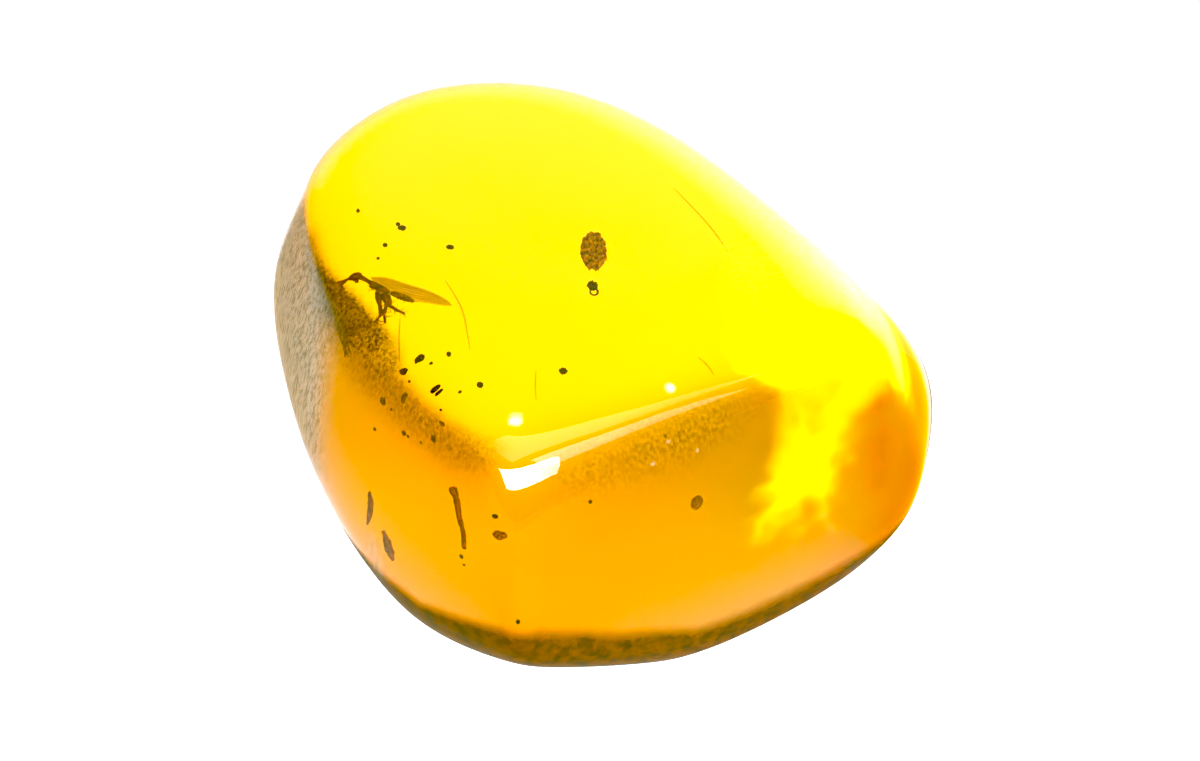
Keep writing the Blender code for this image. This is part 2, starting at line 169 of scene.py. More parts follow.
# The proboscis and the two palps: where they end from the head, and their radius.
MOUTHPARTS = (((0.02, -0.20, 0), 0.05), ((0.10, -0.30, 0.05), 0.03), ((0.06, -0.28, -0.05), 0.03))
THORAX = (0.06, 0.12, 0)
THORAX_HALF_SIZE = (0.42, 0.15, 0.16)
FORE_THORAX = (-0.14, 0.24, 0.03)
FORE_THORAX_HALF_SIZE = (0.18, 0.14, 0.15)
WAIST = (0.45, -0.08, 0)
TAIL = (1.32, -0.50, 0)
ABDOMEN_RINGS = 7
ABDOMEN_RADIUS = 0.155
LEG_JOINTS = {
    "fore": ((-0.02, -0.02, 0.06), (0.10, -0.50, 0.16), (0.22, -0.92, 0.12), (0.20, -1.38, 0.08)),
    "middle": ((0.18, -0.12, 0.08), (0.34, -0.56, 0.20), (0.30, -0.98, 0.20), (0.42, -1.34, 0.18)),
    "hind": ((0.34, -0.18, 0.08), (0.44, -0.66, 0.14), (0.74, -0.90, 0.22), (1.00, -1.04, 0.26)),
}
LEG_RADII = (0.08, 0.105, 0.070, 0.050, 0.058, 0.042)
# A foot's joints and the narrows between them.
FOOT_RADII = (0.036, 0.026)
ANTENNA_RADIUS = 0.030
BEAD_SWELL = 0.010
ANTENNA_TAPER = 0.0004
ANTENNA_ROUTE = ((-0.70, 0.80, 0.08), (-0.52, 0.64, 0.13), (-0.30, 0.46, 0.15), (-0.05, 0.34, 0.16))
WING_FRONT_EDGE = (
    (-0.30, 0.62), (0.25, 0.58), (0.93, 0.34), (1.94, -0.02), (2.55, -0.36), (2.80, -0.62),
)
WING_HIND_EDGE = (
    (-0.24, 0.50), (0.30, 0.05), (0.94, -0.36), (1.94, -0.54), (2.50, -0.62), (2.80, -0.62),
)
WING_SPREAD = 0.13
WING_CAMBER = 0.09
WING_THICKNESS = 0.018
# The veins: their places across the wing, their half width as a share of it, and their height.
WING_VEINS = (0.0, 0.16, 0.34, 0.55, 0.78, 1.0)
VEIN_SHARE = 0.035
RIM_SHARE = 0.03
VEIN_HEIGHT = 0.012
# A bristle's stops: how far from its root, and its radius there.
BRISTLE = ((0.0, 0.010), (0.16, 0.007), (0.30, 0.002))

# The debris: places on the flow surface and half sizes, in mm.
PELLET_PLACE = (-0.53, 1.42)
PELLET_HALF_SIZE = (0.50, 0.88, 0.45)
CRUMB_PLACE = (-0.60, -0.16)
CRUMB_RADIUS = 0.19
CURL_RADIUS = 0.15
TWIG_ROUTE = ((-4.60, -6.71), (-4.55, -7.28), (-4.63, -7.91), (-4.62, -8.63), (-4.77, -9.37))
TWIG_RADIUS = 0.16
SEED_GRAIN = ((3.39, -7.82), (0.25, 0.32, 0.20))
COARSE_DUST = {
    "dust_grain_1": ((-1.80, -3.96), (0.16, 0.15, 0.13)),
    "dust_grain_2": ((-6.20, 1.39), (0.15, 0.11, 0.10)),
    "dust_grain_3": ((-7.20, -3.45), (0.13, 0.15, 0.12)),
    "dust_grain_4": ((-8.09, 2.19), (0.16, 0.12, 0.11)),
}
# Finer specks on the flow surface: x, y and the radius.
FINE_DUST = (
    (-8.25, 2.36, 0.09), (-8.74, 1.40, 0.10), (-9.00, 0.82, 0.06), (-9.79, 2.95, 0.09),
    (-5.02, -4.65, 0.11), (-6.45, -4.53, 0.13), (-6.30, -4.70, 0.08), (-6.23, -3.36, 0.10),
    (-6.83, -3.68, 0.06), (-5.71, -4.90, 0.05), (-1.31, -7.27, 0.09), (1.66, -4.94, 0.06),
)
# Crumbs just below the front faces, off the flow surface: x, y, z and the radius.
BARK_CRUMB = (-3.85, -10.75, 8.04, 0.21)
SHALLOW_DUST = (
    (-4.03, -10.55, 8.90, 0.10), (-5.30, -10.50, 6.25, 0.10), (-5.22, -10.75, 6.02, 0.06),
    (-8.70, -6.40, 8.85, 0.07), (-3.32, -12.79, 5.0, 0.10),
)

# Seams and cracks in the clear resin: the radius, and places in mm.
FLOW_LINES = (
    (0.035, ((2.71, 4.41, 9.93), (4.16, 2.44, 9.83), (5.20, 0.46, 9.76), (6.21, -1.77, 9.67))),
    (0.030, ((3.57, -4.18, 10.03), (3.90, -4.50, 9.95), (4.15, -4.89, 9.91))),
    (0.035, ((-6.25, -1.08, 10.83), (-5.56, -2.55, 10.79), (-5.22, -4.52, 10.79))),
    (0.030, ((-7.92, -3.11, 11.02), (-7.90, -4.15, 11.00), (-7.78, -5.06, 10.92))),
    (0.028, ((-2.67, -5.38, 10.73), (-2.69, -6.10, 10.73), (-2.66, -6.84, 10.74))),
    (0.030, ((9.65, 0.40, 9.10), (9.33, -0.53, 9.62), (9.19, -0.99, 9.76))),
    (0.030, ((9.19, -0.99, 9.76), (9.54, -1.16, 9.59), (9.90, -1.38, 9.35))),
    (0.045, ((9.40, -2.32, 9.55), (9.62, -2.21, 9.42), (9.80, -2.02, 9.30))),
)

# Dark streaks of bark dust just below the lower left of the front: places and radii in mm.
DARK_STREAKS = (
    (
        (-9.00, -7.40, 6.10, 0.07), (-8.97, -7.62, 5.66, 0.15),
        (-9.02, -7.72, 5.12, 0.14), (-9.12, -7.79, 4.60, 0.05),
    ),
    (
        (-8.50, -8.38, 4.95, 0.08), (-8.36, -8.60, 4.56, 0.20),
        (-8.25, -8.80, 4.20, 0.24), (-8.13, -8.98, 3.85, 0.10),
    ),
)

# The camera looks down on the stone's front.
VIEW_CENTRE = Vector((-0.17, -1.25, 5.2)) * MM
VIEW_ELEVATION = math.radians(52)
VIEW_DISTANCE = 200 * MM
SENSOR_WIDTH = 36
PICTURE_WIDTH = 1200
PIXELS_PER_MM = 25.1
NEAREST_SEEN = 0.001
# How often light may bounce in the clear stone and off dull surfaces, and pass through the films;
# and the red, green and blue that count as black.
CLEAR_BOUNCES = 48
OPEN_BOUNCES = 6
FILM_CROSSINGS = 24
BLACK_LEVEL = (0.02, 0.02, 0.10)

# The table glows evenly beyond the second distance from the middle, and most within the first: a painted
# pool of light under the stone.
GLOW_CENTRE = (-3 * MM, 4 * MM, 0)
GLOW_REACH = (9 * MM, 28 * MM)
TABLE_GLOW = (1.7, 0.75)
# A painted pool of light, brighter still, where light through the stone falls: where, its half size and its
# extra glow.
LIGHT_POOL_PLACE = (6.2 * MM, 1.3 * MM, 0)
SPOT_HALF_SIZE = (1.5 * MM, 3.7 * MM, 1)
SPOT_GLOW = 8.0
# Its edge is soft between these shares of the half size, and ragged by a share of them.
SPOT_EDGE = (0.35, 1.45)
SPOT_RAGGEDNESS = 1.6
RAGGED_GRAIN = 1.4 * MM
FLOOR_HALF_WIDTH = 1.5
FLOOR_DROP = 0.05 * MM
ROOM_GLOW = 0.15
# Soft bright parts of the room: azimuth, elevation, sharpness and strength.
SKY_LOBES = ((176, 30, 7, 1.5), (168, 44, 30, 0.8))
# Lamps: azimuth and elevation as seen from the stone, distance, width and height in mm, and
# radiance.
LAMPS = {
    "overhead_softbox": (56, 70, 212, 150, 150, 3.5),
    "side_softbox": (56, 36, 150, 36, 40, 8.0),
    "corner_softbox": (21, 31, 150, 140, 50, 26.0),
}
LAMP_AIM = Vector((-2, -9, 9)) * MM


# Shared helpers


def linear(hex_color):
    """The linear colour of an sRGB hex value."""
    channels = [int(hex_color[i:i + 2], 16) / 255 for i in (1, 3, 5)]
    return [c / 12.92 if c <= 0.04045 else ((c + 0.055) / 1.055) ** 2.4 for c in channels]


def rgba(hex_color):
    """The linear colour of an sRGB hex value, with an alpha of one."""
    return (*linear(hex_color), 1.0)


def add_node(tree, kind, inputs=(), **settings):
    """Adds a node with its settings, and its inputs, which are values or sockets to link."""
    node = tree.nodes.new("ShaderNode" + kind)
    for name, value in settings.items():
        setattr(node, name, value)
    for name, value in dict(inputs).items():
        if isinstance(value, bpy.types.NodeSocket):
            tree.links.new(value, node.inputs[name])
        else:
            node.inputs[name].default_value = value
    return node


def new_material(name, roughness, ior=1.5, **sockets):
    """A Principled material, its node tree and its shader."""
    material = bpy.data.materials.new(name)
    material.use_nodes = True
    shader = material.node_tree.nodes["Principled BSDF"]
    shader.inputs["Roughness"].default_value = roughness
    shader.inputs["IOR"].default_value = ior
    for socket, value in sockets.items():
        shader.inputs[socket.replace("_", " ").title()].default_value = value
    return material, material.node_tree, shader


def finish_piece(name, bm, material, slot, *replaced):
    """Turns a bmesh into a piece of the stone that stands for the CAD nodes named."""
    if not any(edge.is_boundary for edge in bm.edges):
        bmesh.ops.recalc_face_normals(bm, faces=bm.faces)
    mesh = bpy.data.meshes.new(name)
    bm.to_mesh(mesh)
    bm.free()
    mesh.shade_smooth()
    mesh.set_sharp_from_angle(angle=math.radians(40))
    piece = bpy.data.objects.new(name, mesh)
    bpy.context.collection.objects.link(piece)
    mesh.materials.append(material)
    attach(piece, "root")
    if replaced:
        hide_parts(*replaced)
    return piece


def on_flow_surface(x, y, lift=0.0):
    """The frame of a piece at x, y in mm on the flow surface, lifted off it by some mm."""
    x, y = x * MM, y * MM
    height = FLOW_HEIGHT + y * math.tan(FLOW_SLOPE) + lift * MM
    return Matrix.Translation((x, y, height)) @ Matrix.Rotation(FLOW_SLOPE, 4, "X") @ Matrix.Scale(MM, 4)


def smooth_route(points, steps):
    """Points along a smooth curve through the given points."""
    points = [Vector(point) for point in points]
    ends = [2 * points[0] - points[1], *points, 2 * points[-1] - points[-2]]
    route = []
    for p0, p1, p2, p3 in zip(ends, ends[1:], ends[2:], ends[3:]):
        for step in range(steps):
            t = step / steps
            bend = (2 * p0 - 5 * p1 + 4 * p2 - p3) * t * t + (3 * p1 - p0 - 3 * p2 + p3) * t**3
            route.append((2 * p1 + (p2 - p0) * t + bend) / 2)
    route.append(points[-1])
    return route


def add_tube(bm, route, radii, sides=8, flatness=1.0):
    """Extrudes a round tube along a route, with one radius for each of its points."""
    route = [Vector(point) for point in route]
    turns = []
    for i in range(len(route)):
        along = route[min(i + 1, len(route) - 1)] - route[max(i - 1, 0)]
        turns.append(along.normalized().to_track_quat("Z", "Y").to_matrix().to_4x4())
    frames = [Matrix.Translation(point) @ turn for point, turn in zip(route, turns)]
    first = frames[0] @ Matrix.Diagonal((radii[0], radii[0] * flatness, 1, 1))
    ring = bmesh.ops.create_circle(bm, cap_ends=True, segments=sides, radius=1, matrix=first)["verts"]
    cap = ring[0].link_faces[0]
    made = list(ring)
    for i in range(1, len(route)):
        grown = bmesh.ops.extrude_face_region(bm, geom=[cap])["geom"]
        ring = [item for item in grown if isinstance(item, bmesh.types.BMVert)]
        if i > 1:
            bmesh.ops.delete(bm, geom=[cap], context="FACES_ONLY")
        cap = next(item for item in grown if isinstance(item, bmesh.types.BMFace))
        ratio = radii[i] / radii[i - 1]
        move = frames[i] @ Matrix.Diagonal((ratio, ratio, 1, 1)) @ frames[i - 1].inverted()
        bmesh.ops.transform(bm, matrix=move, verts=ring)
        made += ring
    return made


def add_ellipsoid(bm, center, half_size, angle=0.0, fineness=4, lumps=0.0, grit=2.0, seed=0.0):
    """Adds an ellipsoid turned in the plane of the flow surface, with optional lumps."""
    verts = bmesh.ops.create_icosphere(bm, subdivisions=fineness, radius=1)["verts"]
    if lumps:
        for vert in verts:
            at = vert.co * grit + Vector((seed, seed * 0.7, 0))
            vert.co *= 1 + lumps * noise.fractal(at, 0.9, 2.1, 4)
    bmesh.ops.scale(bm, verts=verts, vec=half_size)
    bmesh.ops.rotate(bm, verts=verts, matrix=Matrix.Rotation(angle, 3, "Z"))
    bmesh.ops.translate(bm, verts=verts, vec=center)
    return verts


# Materials


def polished_amber():
    """Baltic amber, ground and hand-polished.

    It is lemon yellow where it is thin and orange where light goes far in it, with a wet gloss.
    """
    material, tree, shader = new_material("polished_amber", 0.0, ior=AMBER_IOR, transmission_weight=1.0)
    shader.inputs["Base Color"].default_value = rgba("#ffffff")
    density = max(AMBER_LOSS)
    absorb = add_node(tree, "VolumeAbsorption", {
        "Color": (*[1 - share / density for share in AMBER_LOSS], 1),
        "Density": density / MM,
    })
    tree.links.new(absorb.outputs[0], tree.nodes["Material Output"].inputs["Volume"])
    # The left side is sawn and left matt, with slanting saw scratches.
    place = add_node(tree, "TexCoord")
    side = face_normal(*STONE_FACES["left"][:2])
    facing = add_node(tree, "VectorMath", {0: place.outputs["Normal"], 1: side}, operation="DOT_PRODUCT")
    # The stone is also met from inside, where its normals are turned round.
    either_way = add_node(tree, "Math", {0: facing.outputs["Value"]}, operation="ABSOLUTE")
    matt = add_node(tree, "MapRange", {
        "Value": either_way.outputs[0], "From Min": SAWN_COSINES[0], "From Max": SAWN_COSINES[1],
    }, interpolation_type="SMOOTHSTEP")
    along = add_node(tree, "Mapping", {
        "Vector": place.outputs["Object"],
        "Rotation": (0, SAW_SLANT, 0),
        "Scale": (1 / SAW_WIDTH, 1 / SAW_WIDTH, 1 / SAW_LENGTH),
    })
    saw = add_node(tree, "TexNoise", {"Vector": along.outputs[0], "Scale": 1.0, "Detail": 3.0})
    sawn = add_node(tree, "Math", {0: matt.outputs[0], 1: SAWN_ROUGHNESS}, operation="MULTIPLY")
    # The base is ground flat and left frosted.
    height = add_node(tree, "SeparateXYZ", {"Vector": place.outputs["Object"]})
    frosted = add_node(tree, "MapRange", {
        "Value": height.outputs["Z"], "From Min": FROST_HEIGHTS[0], "From Max": FROST_HEIGHTS[1],
        "To Min": BASE_ROUGHNESS, "To Max": 0.0,
    })
    roughness = add_node(tree, "Math", {0: sawn.outputs[0], 1: frosted.outputs[0]}, operation="MAXIMUM")
    tree.links.new(roughness.outputs[0], shader.inputs["Roughness"])
    grooves = add_node(tree, "Math", {0: matt.outputs[0], 1: saw.outputs["Fac"]}, operation="MULTIPLY")
    bump = add_node(tree, "Bump", {
        "Strength": 0.25, "Distance": SAW_DEPTH, "Height": grooves.outputs[0],
    })
    tree.links.new(bump.outputs[0], shader.inputs["Normal"])
    return material


def fossil_chitin():
    """Carbonised chitin: the insect's shell, dark brown and paler in blotches, with a low sheen."""
    material, tree, shader = new_material("fossil_chitin", 0.35, ior=1.56)
    place = add_node(tree, "TexCoord")
    blotches = add_node(tree, "TexNoise", {
        "Vector": place.outputs["Object"], "Scale": 1 / (0.25 * MM), "Detail": 4.0,
    })
    color = add_node(tree, "ValToRGB", {"Fac": blotches.outputs["Fac"]})
    color.color_ramp.elements[0].color = rgba("#3a1804")
    color.color_ramp.elements[1].color = rgba("#8a4a12")
    color.color_ramp.elements[0].position = 0.35
    color.color_ramp.elements[1].position = 0.75
    tree.links.new(color.outputs["Color"], shader.inputs["Base Color"])
    pits = add_node(tree, "TexNoise", {"Vector": place.outputs["Object"], "Scale": 1 / (0.03 * MM)})
    bump = add_node(tree, "Bump", {"Strength": 0.5, "Distance": 0.01 * MM, "Height": pits.outputs["Fac"]})
    tree.links.new(bump.outputs[0], shader.inputs["Normal"])
    return material


def wing_membrane():
    """A fossil wing: a golden film of chitin that the amber glows through, with darker veins."""
    material, tree, shader = new_material("wing_membrane", 0.3, ior=1.56)
    vein = add_node(tree, "Attribute", attribute_name="vein")
    tint = add_node(tree, "ValToRGB", {"Fac": vein.outputs["Fac"]})
    tint.color_ramp.elements[0].color = rgba("#b07a08")
    tint.color_ramp.elements[1].color = rgba("#4a2804")
    tree.links.new(tint.outputs["Color"], shader.inputs["Base Color"])
    cover = add_node(tree, "MapRange", {"Value": vein.outputs["Fac"], "To Min": 0.18, "To Max": 0.60})
    tree.links.new(cover.outputs[0], shader.inputs["Alpha"])
    return material


def flow_line_material():
    """The skin between two flows of resin: a faint orange-brown line that is half see-through."""
    material, tree, shader = new_material("resin_seam", 0.4, alpha=0.35)
    place = add_node(tree, "TexCoord")
    shade = add_node(tree, "TexNoise", {"Vector": place.outputs["Object"], "Scale": 1 / (0.4 * MM)})
    color = add_node(tree, "ValToRGB", {"Fac": shade.outputs["Fac"]})
    color.color_ramp.elements[0].color = rgba("#3a2004")
    color.color_ramp.elements[1].color = rgba("#a06a08")
    tree.links.new(color.outputs["Color"], shader.inputs["Base Color"])
    return material


def grit_material(name, dark, pale, grain, roughness, relief):
    """Plant or soot debris, dull and never glossy: two tones in grains, with a relief, in mm."""
    material, tree, shader = new_material(name, roughness)
    place = add_node(tree, "TexCoord")
    speckle = add_node(tree, "TexNoise", {
        "Vector": place.outputs["Object"], "Scale": 1 / (grain * MM), "Detail": 5.0, "Roughness": 0.65,
    })
    color = add_node(tree, "ValToRGB", {"Fac": speckle.outputs["Fac"]})
    color.color_ramp.elements[0].color = rgba(dark)
    color.color_ramp.elements[1].color = rgba(pale)
    color.color_ramp.elements[0].position = 0.38
    color.color_ramp.elements[1].position = 0.68
    tree.links.new(color.outputs["Color"], shader.inputs["Base Color"])
    bump = add_node(tree, "Bump", {
        "Strength": 0.8, "Distance": relief * MM, "Height": speckle.outputs["Fac"],
    })
    tree.links.new(bump.outputs[0], shader.inputs["Normal"])
    return material


def film_material(name, dark, pale, thinnest, grain, roughness):
    """A dull film on the stone, in two tones and flecks of the given size in mm.

    It hides as much of the stone as its cover says, and less in the pale flecks.
    """
    material, tree, shader = new_material(name, roughness)
    place = add_node(tree, "TexCoord")
    slant = add_node(tree, "Mapping", {
        "Vector": place.outputs["Object"], "Rotation": (0.3, 0.9, 0.5),
        "Scale": [1 / (size * MM) for size in grain],
    })
    broken = add_node(tree, "TexNoise", {
        "Vector": slant.outputs[0], "Scale": 1.0, "Detail": 5.0, "Roughness": 0.7,
    })
    color = add_node(tree, "ValToRGB", {"Fac": broken.outputs["Fac"]})
    color.color_ramp.elements[0].color = rgba(dark)
    color.color_ramp.elements[1].color = rgba(pale)
    color.color_ramp.elements[0].position = 0.40
    color.color_ramp.elements[1].position = 0.62
    tree.links.new(color.outputs["Color"], shader.inputs["Base Color"])
    cover = add_node(tree, "Attribute", attribute_name="cover")
    whole = add_node(tree, "MapRange", {
        "Value": broken.outputs["Fac"], "From Min": 0.35, "From Max": 0.62,
        "To Min": 1.0, "To Max": thinnest,
    })
    alpha = add_node(tree, "Math", {0: cover.outputs["Fac"], 1: whole.outputs[0]}, operation="MULTIPLY")
    tree.links.new(alpha.outputs[0], shader.inputs["Alpha"])
    return material


def stain_material():
    """Resin darkened by air: a clear honey tint, deeper where its cover is denser.

    It has no refraction of its own, so that it only colours what is seen through it.
    """
    material, tree, shader = new_material("honey_stain", 0.0, ior=1.0, transmission_weight=1.0)
    cover = add_node(tree, "Attribute", attribute_name="cover")
    color = add_node(tree, "ValToRGB", {"Fac": cover.outputs["Fac"]})
    color.color_ramp.elements[0].color = rgba("#ffffff")
    color.color_ramp.elements[1].color = rgba("#e8ac20")
    color.color_ramp.elements.new(0.55).color = rgba("#ffd838")
    tree.links.new(color.outputs["Color"], shader.inputs["Base Color"])
    return material


# The stone


def face_normal(azimuth, elevation):
    """The unit normal of a face of the stone."""
    a, e = math.radians(azimuth), math.radians(elevation)
    return np.array([math.sin(a) * math.cos(e), -math.cos(a) * math.cos(e), math.sin(e)])


def stone_radii(directions):
    """How far the stone reaches from its heart along each direction."""
    faces = STONE_FACES.values()
    crispness = np.array([face[3] for face in faces], float)
    slopes = [directions @ face_normal(az, el) / (distance * MM) for az, el, distance, _ in faces]
    slopes = np.maximum(np.stack(slopes, axis=1), 1e-9)
    outer = 1 / slopes.max(axis=1)
    inner = 0.3 * outer
    for _ in range(40):
        middle = (inner + outer) / 2
        within = ((middle[:, None] * slopes) ** crispness).sum(axis=1) < 1
        inner = np.where(within, middle, inner)
        outer = np.where(within, outer, middle)
    return (inner + outer) / 2


def stone_shell():
    """The stone's faces with the slight waves of hand polishing, open at the flat base."""
    bm = bmesh.new()
    bmesh.ops.create_icosphere(bm, subdivisions=STONE_FINENESS, radius=1)
    directions = np.array([vert.co.normalized() for vert in bm.verts])
    for vert, radius in zip(bm.verts, stone_radii(directions)):
        at = vert.co.normalized() * radius
        wave = noise.noise(at / WAVE_LENGTH) - 0.5
        vert.co = at * (1 + wave * WAVE_HEIGHT / radius) + Vector((0, 0, HEART_HEIGHT))
    bmesh.ops.bisect_plane(
        bm, geom=bm.verts[:] + bm.edges[:] + bm.faces[:],
        plane_co=(0, 0, 0), plane_no=(0, 0, -1), clear_outer=True, dist=1e-8,
    )
    places = np.array([vert.co for vert in bm.verts])
    middle = (places.min(axis=0) + places.max(axis=0)) / 2
    bmesh.ops.translate(bm, verts=bm.verts, vec=(-middle[0], -middle[1], 0))
    return bm


def make_stone(material):
    """The clear stone on its flat base."""
    bm = stone_shell()
    bmesh.ops.contextual_create(bm, geom=[edge for edge in bm.edges if edge.is_boundary])
    return finish_piece("amber_stone", bm, material, "amber", "amber_upper", "amber_lower")


def patches_cover(places, patches):
    """How much the patches cover each place, from 0 to 1."""
    bare = np.ones(len(places))
    for x, y, z, reach, strength in patches:
        away = ((places - (x, y, z)) ** 2).sum(axis=1) / reach**2
        bare *= 1 - strength * np.exp(-away)
    return 1 - bare


def before_line(places, line):
    """How far each place lies before a line that runs to the right, in mm as seen from above."""
    nearest = np.full(len(places), 1e9)
    signed = np.zeros(len(places))
    for start, end in zip(line, line[1:]):
        way = np.subtract(end, start)
        off = places[:, :2] - start
        along = np.clip(off @ way / (way @ way), 0, 1)
        away = off - along[:, None] * way
        length = np.hypot(away[:, 0], away[:, 1])
        side = np.sign(off[:, 0] * way[1] - off[:, 1] * way[0])
        closer = length < nearest
        signed = np.where(closer, side * length, signed)
        nearest = np.where(closer, length, nearest)
    return signed


def crust_and_shade_cover(places, normals):
    """The weathered skin and painted shade along the upper edges, ground away behind its border."""
    left = np.interp(before_line(places, CRUST_AND_SHADE_BORDER), CRUST_AND_SHADE_FADE, (0, 1))
    return (patches_cover(places, CRUST_AND_SHADE_PATCHES) + patches_cover(places, DENSE_CRUST_AND_SHADE_PATCHES)) * left


def contact_shade_cover(places, normals):
    """The painted shade round the lower edge, where the stone meets the table."""
    azimuths = np.degrees(np.arctan2(places[:, 0], -places[:, 1]))
    border = np.interp(azimuths, *zip(*CONTACT_SHADE_BORDER))
    return CONTACT_SHADE_STRENGTH * np.interp((border - places[:, 2]) / CONTACT_SHADE_FADE, (-1, 1), (0, 1))


def painted_glint_cover(places, normals):
    """The painted glints on the polish."""
    return patches_cover(places, GLINT_PATCHES)


def stain_cover(places, normals):
    """The stain on the nose."""
    return patches_cover(places, STAIN_PATCHES)


def painted_sheen_cover(places, normals):
    """The painted highlight on the back upper edge."""
    rises = np.degrees(np.arcsin(np.clip(normals[:, 2], -1, 1)))
    azimuths = np.abs(np.degrees(np.arctan2(normals[:, 0], -normals[:, 1])))
    return np.interp(rises, SHEEN_RISES, SHEEN_DENSITIES) * np.interp(azimuths, SHEEN_AZIMUTHS, (0, 1))


def haze_and_sheen_cover(places, normals):
    """The scratched haze and painted sheen of the sawn side, thinner towards the base."""
    turns = np.degrees(np.arccos(np.clip(normals @ face_normal(*STONE_FACES["left"][:2]), -1, 1)))
    near = np.clip((HAZE_TURN[1] - turns) / (HAZE_TURN[1] - HAZE_TURN[0]), 0, 1)
    side = near * near * (3 - 2 * near) * np.interp(places[:, 2], HAZE_HEIGHTS, HAZE_DENSITIES)
    return np.maximum(side, patches_cover(places, GREY_PATCHES))


def make_film(name, cover_of, lift, material):
    """A thin film on the stone wherever it covers anything.

    Its cover comes from the places of the stone's surface in mm and from the normals there.
    """
    bm = stone_shell()
    bm.normal_update()
    layer = bm.verts.layers.float.new("cover")
    places = np.array([vert.co for vert in bm.verts]) / MM
    normals = np.array([vert.normal for vert in bm.verts])
    for vert, cover in zip(bm.verts, cover_of(places, normals)):
        vert[layer] = cover
        vert.co += vert.normal * lift
    bare = [face for face in bm.faces if max(vert[layer] for vert in face.verts) < LEAST_COVER]
    bmesh.ops.delete(bm, geom=bare, context="FACES")
    return finish_piece(name, bm, material, "amber")


# The insect


def mirrored(points, side):
    """Points with their height on the chosen side of the insect."""
    return [Vector((x, y, z * side)) for x, y, z in points]


def make_insect(chitin):
    """The gnat's body: head with eyes and mouthparts, thorax, ringed abdomen, legs and antennae."""
    bm = bmesh.new()
    add_ellipsoid(bm, THORAX, THORAX_HALF_SIZE, BODY_ANGLE, lumps=0.05, seed=3.1)
    add_ellipsoid(bm, FORE_THORAX, FORE_THORAX_HALF_SIZE, BODY_ANGLE, lumps=0.05, seed=1.7)
    add_ellipsoid(bm, HEAD, HEAD_HALF_SIZE, BODY_ANGLE, lumps=0.04, seed=5.3)
    neck = [Vector(HEAD).lerp(Vector(THORAX), share) for share, _ in NECK]
    add_tube(bm, neck, [radius for _, radius in NECK], sides=12)
    for end, radius in MOUTHPARTS:
        tip = Vector(HEAD) + Vector(end)
        add_tube(bm, [HEAD, Vector(HEAD).lerp(tip, 0.6), tip], [0.07, radius, radius * 0.6], sides=8)
    rings = 4 * ABDOMEN_RINGS
    route = [Vector(WAIST).lerp(Vector(TAIL), i / rings) for i in range(rings + 1)]
    girths = [math.sin(math.pi * (0.16 + 0.78 * i / rings)) ** 0.7 for i in range(rings + 1)]
    swell = [0.86 + 0.14 * abs(math.sin(math.pi * i / 4)) for i in range(rings + 1)]
    add_tube(bm, route, [ABDOMEN_RADIUS * g * s for g, s in zip(girths, swell)], sides=16)
    for side in (1, -1):
        add_ellipsoid(bm, Vector(HEAD) + mirrored([EYE_OFFSET], side)[0], EYE_HALF_SIZE)
        beads = smooth_route(mirrored(ANTENNA_ROUTE, side), 8)
        steps = range(len(beads))
        add_tube(bm, beads, [ANTENNA_RADIUS + BEAD_SWELL * (i % 2) - ANTENNA_TAPER * i for i in steps])
        for joints in LEG_JOINTS.values():
            hip, knee, ankle, toe = mirrored(joints, side)
            stops = [hip, hip.lerp(knee, 0.5), knee, knee.lerp(ankle, 0.06), ankle.lerp(knee, 0.06), ankle]
            add_tube(bm, stops, LEG_RADII)
            foot = [ankle.lerp(toe, i / 8) for i in range(9)]
            add_tube(bm, foot, [FOOT_RADII[i % 2] for i in range(9)])
    add_bristles(bm)
    bmesh.ops.transform(bm, matrix=on_flow_surface(*INSECT_PLACE), verts=bm.verts)
    return finish_piece("insect_body", bm, chitin, "chitin", "insect")


def add_bristles(bm):
    """Short bristles on the thorax, the abdomen and the legs."""
    dice = random.Random(7)
    roots = []
    for _ in range(24):
        roots.append(Vector(THORAX) + Vector((dice.uniform(-0.35, 0.35), dice.uniform(-0.1, 0.2), 0)))
    roots += [Vector(WAIST).lerp(Vector(TAIL), dice.random()) for _ in range(30)]
    for joints in LEG_JOINTS.values():
        for side in (1, -1):
            stops = mirrored(joints, side)
            for start, end in zip(stops, stops[1:]):
                roots += [start.lerp(end, dice.random()) for _ in range(6)]
    for root in roots:
        way = Vector((dice.gauss(0.4, 0.6), dice.gauss(0, 1), dice.gauss(0, 1))).normalized()
        add_tube(bm, [root + way * far for far, _ in BRISTLE], [radius for _, radius in BRISTLE], sides=5)


